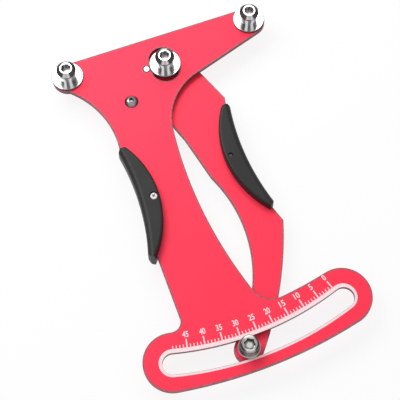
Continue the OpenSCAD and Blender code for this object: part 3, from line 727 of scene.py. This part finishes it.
def border(p):
    """The printed border of the slot, as a band from line(t) + (half + gap) n(t)
    to line(t) + (half + width(t)) n(t): t runs round the slot, n is its outward
    normal, and the width goes from outer to inner as n turns to the hinge."""
    arc = np.linspace(p.slot_low, p.slot_high, ARC_POINTS)
    end = np.linspace(0, math.pi, END_POINTS + 2)[1:-1]
    # the angle of the line's point, and the turn of its normal from the hinge
    at = np.concatenate([
        arc, np.full_like(end, p.slot_high), arc[::-1], np.full_like(end, p.slot_low)])
    turn = np.concatenate([
        np.zeros_like(arc), -end, np.full_like(arc, -math.pi), -math.pi - end])
    line = polar(p.slot_radius, at)
    inward = np.stack([-np.sin(at), np.cos(at)], -1)
    across = np.stack([np.cos(at), np.sin(at)], -1)
    normal = inward * np.cos(turn)[:, None] - across * np.sin(turn)[:, None]
    width = p.border_out + (p.border_in - p.border_out) * (1 + np.cos(turn)) / 2
    inner = line + normal * (p.slot_half + p.border_gap)
    outer = line + normal * (p.slot_half + width)[:, None]
    return np.stack([inner, outer], 1), grid_faces(len(at), 2, close_rows=True)


def ticks(p):
    """The scale's lines, as quads from the border's edge towards the hinge:
    line i stands at zero - i divisions, and each fifth is longer and wider."""
    i = np.arange(p.divisions + 1)
    major = i % p.major_each == 0
    at = p.zero - i * p.division
    foot = np.full(len(i), p.slot_radius - p.slot_half - p.border_in + p.tick_foot)
    top = np.where(major, p.major_top, p.tick_top)
    half = np.where(major, p.major_width, p.tick_width)[:, None] / 2
    across = np.stack([np.cos(at), np.sin(at)], -1) * half
    low, high = polar(foot, at), polar(top, at)
    points = np.stack([low - across, low + across, high + across, high - across], 1)
    return points, np.arange(len(i) * 4).reshape(-1, 4)


def figures(p):
    """The numbers at each fifth line, upright along its radius. Each is drawn
    in the built-in face, fitted to its height and width, and turned."""
    points, faces, made = [], [], 0
    for value in range(0, p.divisions + 1, p.major_each):
        digits = str(value)
        text = bpy.data.curves.new("figures", "FONT")
        text.body, text.offset, text.resolution_u = digits, p.number_weight, FIGURE_CURVE
        holder = bpy.data.objects.new("figures", text)
        bpy.context.scene.collection.objects.link(holder)
        bpy.context.view_layer.update()
        mesh = bpy.data.meshes.new_from_object(holder)
        xy = np.zeros(len(mesh.vertices) * 3)
        mesh.vertices.foreach_get("co", xy)
        xy = xy.reshape(-1, 3)[:, :2]
        low, high = xy.min(0), xy.max(0)
        wide = p.number_width * len(digits) * (p.number_alone if len(digits) == 1 else 1.0)
        size = np.array([wide, p.number_height])
        xy = (xy - [(low[0] + high[0]) / 2, low[1]]) / (high - low) * size
        at = p.zero - value * p.division
        side = np.array([math.cos(at), math.sin(at)])
        up = np.array([-math.sin(at), math.cos(at)])
        points.append(polar(p.number_foot, at) + xy[:, :1] * side + xy[:, 1:] * up)
        faces += [[v + made for v in f.vertices] for f in mesh.polygons]
        made += len(xy)
        bpy.data.objects.remove(holder)
        bpy.data.meshes.remove(mesh)
        bpy.data.curves.remove(text)
    return np.concatenate(points), faces


def tube_along(path, radius, sides):
    """A round tube: p(i, k) = path(i) + radius (cos k u(i) + sin k v(i)), with
    u carried along the path so that it never twists, and capped ends."""
    ahead = np.gradient(path, axis=0)
    ahead /= np.linalg.norm(ahead, axis=1, keepdims=True)
    side = np.zeros_like(path)
    # any first direction will do that isn't the path's own
    last = np.array([0.0, 0.3, 1.0])
    for i, t in enumerate(ahead):
        last = last - t * (last @ t)
        last /= np.linalg.norm(last)
        side[i] = last
    other = np.cross(ahead, side)
    k = np.linspace(0, 2 * math.pi, sides, endpoint=False)
    ring = np.cos(k)[None, :, None] * side[:, None] + np.sin(k)[None, :, None] * other[:, None]
    return path[:, None] + radius * ring, capped_faces(len(path), sides)


def spring_path(p):
    """Centre line of the spring: a hook round the anchor pin, the helix
    (s, coil cos t, coil sin t), and a hook round the ear's pin, joined by
    short necks and smoothed by rounds of a 1-2-1 mean."""
    anchor, ear = centre_of("anchor_pin"), centre_of("ear_pin")
    span = np.linalg.norm(ear - anchor)
    ahead = (ear - anchor) / span
    left = np.array([-ahead[1], ahead[0]])

    def hook(facing, middle):
        a = facing + np.linspace(-p.hook_turn / 2, p.hook_turn / 2, HOOK_POINTS)
        return np.stack([middle + p.hook * np.cos(a), p.hook * np.sin(a), 0 * a], -1)

    t = np.linspace(0, 1, p.curls * CURL_POINTS + 1)
    turn = math.pi + 2 * math.pi * p.curls * t
    start = p.hook + p.neck
    body = np.stack(
        [start + (span - 2 * start) * t, p.coil * np.cos(turn), p.coil * np.sin(turn)], -1
    )
    local = np.concatenate([hook(math.pi, 0), body, hook(0, span)])
    step = np.concatenate([[0], np.cumsum(np.linalg.norm(np.diff(local, axis=0), axis=1))])
    even = np.linspace(0, step[-1], WIRE_POINTS)
    local = np.stack([np.interp(even, step, local[:, k]) for k in range(3)], -1)
    for _ in range(p.softness):
        local[1:-1] = (local[:-2] + 2 * local[1:-1] + local[2:]) / 4
    plan = anchor + local[:, :1] * ahead + local[:, 1:2] * left
    return np.concatenate([plan, p.level + local[:, 2:]], -1), anchor, ear


def cap_screw(p, centre, low, seat):
    """A flanged cap screw, as a grid of profile rows by angle: row i stands at
    z(i) with radius R(i), or, in the socket, with the radius of a hexagon,
    flats / cos of the angle to the nearest flat's middle. Both ends are capped."""
    bend = np.radians(np.linspace(0, 90, ROUND_POINTS))
    rows = [
        (p.shank * p.point_end, low),
        (p.shank, low + p.point),
        (p.shank, seat),
        (p.flange - p.flange_low, seat),
        (p.flange, seat + p.flange_low),
        (p.flange, p.flange_top - p.flange_high),
        (p.flange - p.flange_high, p.flange_top),
        (p.cap - p.cap_undercut, p.flange_top),
        (p.cap, p.flange_top + p.cap_foot),
    ]
    rows += list(zip(
        p.cap - p.cap_round + p.cap_round * np.cos(bend),
        p.cap_top - p.cap_round + p.cap_round * np.sin(bend)))
    rows += [(p.flats * p.mouth, p.cap_top), (p.flats * p.throat, p.cap_top - p.mouth_deep)]
    r, z = np.array(rows).T
    turn = np.radians(np.arange(0, 360, CAP_STEP))
    flat = (turn + math.pi / 6) % (math.pi / 3) - math.pi / 6
    hexa = p.flats / np.cos(flat)
    wall = np.repeat(r[:, None], len(turn), 1)
    wall = np.concatenate([wall, hexa[None], hexa[None]])
    level = np.concatenate([z, [p.cap_top - p.hexagon_top, p.cap_top - p.socket_deep]])
    points = np.stack([
        centre[0] + wall * np.cos(turn), centre[1] + wall * np.sin(turn),
        np.repeat(level[:, None], len(turn), 1)], -1)
    return points, capped_faces(*wall.shape)


def thread_shape(p, centre, radius, low, high):
    """A cut thread: r(a, z) = radius - root depth + depth (1 - |2 frac(z / pitch
    - a / turn) - 1|), which fades to the plain root at both ends, on a grid of
    height by angle."""
    rows = max(THREAD_LEAST, int((high - low) / p.pitch * THREAD_ROWS) + 1)
    a = np.linspace(0, 2 * math.pi, THREAD_SIDES, endpoint=False)
    z = np.linspace(low, high, rows)
    a, z = np.meshgrid(a, z, indexing="xy")
    wave = np.abs(2 * ((z / p.pitch - a / (2 * math.pi)) % 1.0) - 1)
    fade = np.clip(np.minimum(z - low, high - z) / (p.runout * p.pitch), 0, 1)
    r = radius - p.root * p.depth + p.depth * (1 - wave) * fade
    points = np.stack([centre[0] + r * np.cos(a), centre[1] + r * np.sin(a), z], -1)
    return points, capped_faces(rows, THREAD_SIDES)


def broken_edge(node, level, start, width, lift):
    """The broken edge of a sheet's face, as a band inside the face's outline:
    q(s) = p + s 2 (n + m) / |n + m|^2 for each corner p of the outline, with n
    and m the inward normals of the two sides that meet there, and s from start
    to width. The face's triangles turn to the left, and each side of the
    outline is in one of them only."""
    mesh = frame["nodes"][node].data
    corners = np.zeros(len(mesh.polygons) * 3, int)
    mesh.polygons.foreach_get("vertices", corners)
    at = np.zeros(len(mesh.vertices) * 3)
    mesh.vertices.foreach_get("co", at)
    triangles = at.reshape(-1, 3)[corners.reshape(-1, 3)]
    face = triangles[np.abs(triangles[:, :, 2] - level).max(1) < SAME_LEVEL][:, :, :2]
    key = np.round(face / SAME_CORNER).astype(np.int64).reshape(-1, 2)
    key, index = np.unique(key, axis=0, return_inverse=True)
    plan, index = key * SAME_CORNER, index.reshape(-1, 3)
    sides = np.concatenate([index[:, [0, 1]], index[:, [1, 2]], index[:, [2, 0]]])
    _, first, uses = np.unique(np.sort(sides, 1), axis=0, return_index=True, return_counts=True)
    a, b = sides[first[uses == 1]].T
    along = plan[b] - plan[a]
    along /= np.linalg.norm(along, axis=1, keepdims=True)
    inward = np.stack([-along[:, 1], along[:, 0]], -1)
    both = np.zeros_like(plan)
    np.add.at(both, a, inward)
    np.add.at(both, b, inward)
    mitre = 2 * both / np.maximum((both**2).sum(1, keepdims=True), 1.0)
    ring = np.unique([a, b])
    a, b = np.searchsorted(ring, a), np.searchsorted(ring, b)
    points = np.concatenate([plan[ring] + mitre[ring] * s for s in (start, width)])
    points = np.concatenate([points, np.full((len(points), 1), level + lift)], -1)
    return points, np.stack([a, b, b + len(ring), a + len(ring)], -1)


def studio_lamp(name, spot, aim, size, power):
    """A square lamp that faces a point."""
    light = bpy.data.lights.new(name, "AREA")
    light.shape, light.size, light.energy = "SQUARE", size, power
    lamp = bpy.data.objects.new(name, light)
    lamp.location = spot
    x, y, z = np.array(aim) - np.array(spot)
    lamp.rotation_euler = (
        math.atan2(math.hypot(x, y), -z), 0, math.atan2(y, x) - math.pi / 2,
    )
    bpy.context.scene.collection.objects.link(lamp)


# ---------------------------------------------------------------- operators


class METER_OT_plates(bpy.types.Operator):
    """Anodised finish of the front plate and of the lever"""

    bl_idname = "meter.plates"
    bl_label = "Plates"

    def execute(self, context):
        c = context.scene.meter_finishes
        dress("front_plate", anodised("red_plate_satin", tuple(c.plate), tuple(c.cut)))
        dress("lever_plate", anodised("red_lever_satin", tuple(c.lever), tuple(c.cut)))
        return {"FINISHED"}


class METER_OT_broken_edges(bpy.types.Operator):
    """Broken edges of the two plates' upper faces, painted dark as shade"""

    bl_idname = "meter.broken_edges"
    bl_label = "Broken edges"

    def execute(self, context):
        c = context.scene.meter_finishes
        # the band's dark colour is painted shade
        rubbed = worn_edge("painted_edge_shade", tuple(c.edge))
        for node, body, slot in (
            ("front_plate", "frame", "red_plate"), ("lever_plate", "lever", "red_lever"),
        ):
            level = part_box(node)[1].z
            points, faces = broken_edge(node, level, c.edge_start, c.edge_width, c.edge_lift)
            piece = mesh_object(node + "_edge", points, faces, rubbed)
            # the band goes as far into the sheet as it stands above it
            thicken(piece, c.edge_lift * 2)
            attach(piece, body)
        return {"FINISHED"}


class METER_OT_posts(bpy.types.Operator):
    """Polished posts and discs, each turned about its own axis"""

    bl_idname = "meter.posts"
    bl_label = "Posts and discs"

    def execute(self, context):
        c = context.scene.meter_finishes
        bright, streak = tuple(c.polished), tuple(c.streak)
        for side in ("left", "right", "moving"):
            post, disc = side + "_post", side + "_flange"
            axis, top = centre_of(post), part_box(post)[1].z
            low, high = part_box(disc)
            dress(post, post_steel(
                post + "_polish", bright, streak, axis, top, high.z, c.socket, c.flank))
            dress(disc, rimmed(
                disc + "_polish", bright, streak, axis, (high.x - low.x) / 2, roughness=0.14))
        return {"FINISHED"}


class METER_OT_screws(bpy.types.Operator):
    """Grip screws, pivot screw and the dark anchor screw"""

    bl_idname = "meter.screws"
    bl_label = "Screws"

    def execute(self, context):
        c = context.scene.meter_finishes
        steel, streak = tuple(c.stainless), tuple(c.streak)
        for node in ("plate_grip_screws", "lever_grip_screws"):
            dress(node, grip_screw_steel(
                node + "_steel", steel, streak, centre_of(node), c.tip_level, c.head_level))
        dress("pivot_screw", rimmed(
            "pivot_screw_steel", tuple(c.polished), streak, centre_of("pivot_screw"),
            c.pivot_end, roughness=0.2))
        low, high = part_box("anchor_screw")
        dress("anchor_screw", socket_head(
            "anchor_screw_steel", tuple(c.dark), streak, centre_of("anchor_screw"), high.z,
            (high.x - low.x) / 2, c.anchor_flats, c.flank, worn=c.anchor_wear))
        return {"FINISHED"}


class METER_OT_fittings(bpy.types.Operator):
    """Plated nuts, pins, spacer, sleeve and washer, and the slip ring"""

    bl_idname = "meter.fittings"
    bl_label = "Fittings"

    def execute(self, context):
        c = context.scene.meter_finishes
        zinc = plated("zinc_plate", tuple(c.zinc))
        for node in (
            "left_nut", "right_nut", "moving_nut", "pointer_nut", "anchor_pin", "ear_pin",
            "moving_spacer", "pointer_sleeve", "back_washer",
        ):
            dress(node, zinc)
        dress("slip_washer", nylon("slip_ring_nylon", tuple(c.ring)))
        return {"FINISHED"}


class METER_OT_grips(bpy.types.Operator):
    """Satin black plastic of the four grip halves"""

    bl_idname = "meter.grips"
    bl_label = "Grips"

    def execute(self, context):
        black = moulded("grip_satin", tuple(context.scene.meter_finishes.grip))
        for node in ("plate_grip_front", "plate_grip_back", "lever_grip_front", "lever_grip_back"):
            dress(node, black)
        return {"FINISHED"}


class METER_OT_scale_print(bpy.types.Operator):
    """The printed scale: the slot's border, its lines and its numbers"""

    bl_idname = "meter.scale_print"
    bl_label = "Printed scale"

    def execute(self, context):
        p = context.scene.meter_scale
        ink = printed("scale_ink", tuple(context.scene.meter_finishes.ink))
        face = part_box("front_plate")[1].z
        for name, (plan, faces) in (
            ("scale_border", border(p)), ("scale_ticks", ticks(p)), ("scale_numbers", figures(p)),
        ):
            plan = np.asarray(plan).reshape(-1, 2)
            points = np.concatenate([plan, np.full((len(plan), 1), face + p.ink)], -1)
            piece = mesh_object(name, points, faces, ink)
            # the layer grows downwards, from faces that look up
            normals = np.zeros(len(piece.data.polygons) * 3)
            piece.data.polygons.foreach_get("normal", normals)
            if normals[2::3].sum() < 0:
                piece.data.flip_normals()
            thicken(piece, p.ink * p.ink_layer)
            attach(piece, "frame")
        return {"FINISHED"}


class METER_OT_spring(bpy.types.Operator):
    """The extension spring between the anchor pin and the ear pin"""

    bl_idname = "meter.spring"
    bl_label = "Spring"

    def execute(self, context):
        p = context.scene.meter_spring
        path, anchor, ear = spring_path(p)
        steel = drawn("spring_steel_wire", tuple(context.scene.meter_finishes.wire))
        points, faces = tube_along(path, p.wire / 2, WIRE_SIDES)
        piece = smooth(mesh_object("spring_wire", points, faces, steel))
        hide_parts("return_spring")
        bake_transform(piece)
        return {"FINISHED"}


class METER_OT_pointer(bpy.types.Operator):
    """The pointer: a flanged cap screw with a hexagon socket"""

    bl_idname = "meter.pointer"
    bl_label = "Pointer screw"

    def execute(self, context):
        p, c = context.scene.meter_pointer, context.scene.meter_finishes
        axis, low = centre_of("pointer_screw"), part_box("pointer_screw")[0].z
        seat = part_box("pointer_sleeve")[1].z + p.flange_over
        points, faces = cap_screw(p, axis, low, seat)
        steel = socket_head(
            "pointer_cap_steel", tuple(c.stainless), tuple(c.streak), axis, p.cap_top, p.cap,
            p.flats, c.flank, flange_top=p.flange_top)
        piece = smooth(mesh_object("pointer_cap_screw", points, faces, steel))
        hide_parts("pointer_screw")
        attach(piece, "lever")
        return {"FINISHED"}


class METER_OT_threads(bpy.types.Operator):
    """Cut thread on the ends of the studs behind their nuts"""

    bl_idname = "meter.threads"
    bl_label = "Threads"

    def execute(self, context):
        p = context.scene.meter_threads
        zinc = bpy.data.materials["zinc_plate"]
        for stud, nut, body, radius in (
            ("left_post", "left_nut", "frame", p.stud),
            ("right_post", "right_nut", "frame", p.stud),
            ("moving_post", "moving_nut", "lever", p.stud),
            ("pointer_screw", "pointer_nut", "lever", p.screw),
        ):
            low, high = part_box(stud)[0].z + p.start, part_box(nut)[0].z + p.lap
            points, faces = thread_shape(p, centre_of(stud), radius, low, high)
            piece = smooth(mesh_object(stud + "_thread", points, faces, zinc))
            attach(piece, body)
        return {"FINISHED"}


class METER_OT_stage(bpy.types.Operator):
    """Camera, pale floor and soft studio light"""

    bl_idname = "meter.stage"
    bl_label = "Stage"

    def execute(self, context):
        p, scene = context.scene.meter_stage, context.scene
        camera = bpy.data.objects.new("camera", bpy.data.cameras.new("camera"))
        camera.location, camera.rotation_euler = p.eye, p.turn
        camera.data.lens, camera.data.sensor_width = p.lens, p.sensor
        camera.data.clip_start = p.near
        scene.collection.objects.link(camera)
        scene.camera = camera
        half, low = p.floor / 2, -p.floor_drop
        corners = [[-half, -half, low], [half, -half, low], [half, half, low], [-half, half, low]]
        floor = mesh_object("floor", corners, [[0, 1, 2, 3]], floor_white(p))
        studio_lamp("key_lamp", p.key_place, p.aim, p.key_size, p.key)
        studio_lamp("fill_lamp", p.fill_place, p.aim, p.fill_size, p.fill)
        scene.world = studio_sky(p)
        scene.view_settings.view_transform = "Standard"
        return {"FINISHED"}


class METER_PT_panel(bpy.types.Panel):
    """Lists the meter's pieces and their sizes in the sidebar"""

    bl_label = "Tension meter"
    bl_space_type = "VIEW_3D"
    bl_region_type = "UI"
    bl_category = "Tension meter"

    def draw(self, context):
        for step in STEPS:
            self.layout.operator(step.bl_idname)
        for name, group in GROUPS.items():
            box = self.layout.box()
            box.label(text=group.__doc__)
            for size in group.__annotations__:
                box.prop(getattr(context.scene, name), size)


STEPS = (
    METER_OT_plates,
    METER_OT_broken_edges,
    METER_OT_posts,
    METER_OT_screws,
    METER_OT_fittings,
    METER_OT_grips,
    METER_OT_scale_print,
    METER_OT_spring,
    METER_OT_pointer,
    METER_OT_threads,
    METER_OT_stage,
)
GROUPS = {
    "meter_scale": ScaleSizes,
    "meter_spring": SpringSizes,
    "meter_pointer": PointerSizes,
    "meter_threads": ThreadSizes,
    "meter_finishes": Finishes,
    "meter_stage": StageSizes,
}


def register():
    for name, group in GROUPS.items():
        bpy.utils.register_class(group)
        setattr(bpy.types.Scene, name, PointerProperty(type=group))
    for kind in (*STEPS, METER_PT_panel):
        bpy.utils.register_class(kind)


def unregister():
    for kind in (METER_PT_panel, *reversed(STEPS)):
        bpy.utils.unregister_class(kind)
    for name, group in GROUPS.items():
        delattr(bpy.types.Scene, name)
        bpy.utils.unregister_class(group)


def main():
    register()
    for step in STEPS:
        family, name = step.bl_idname.split(".")
        getattr(getattr(bpy.ops, family), name)()


if __name__ == "__main__":
    main()
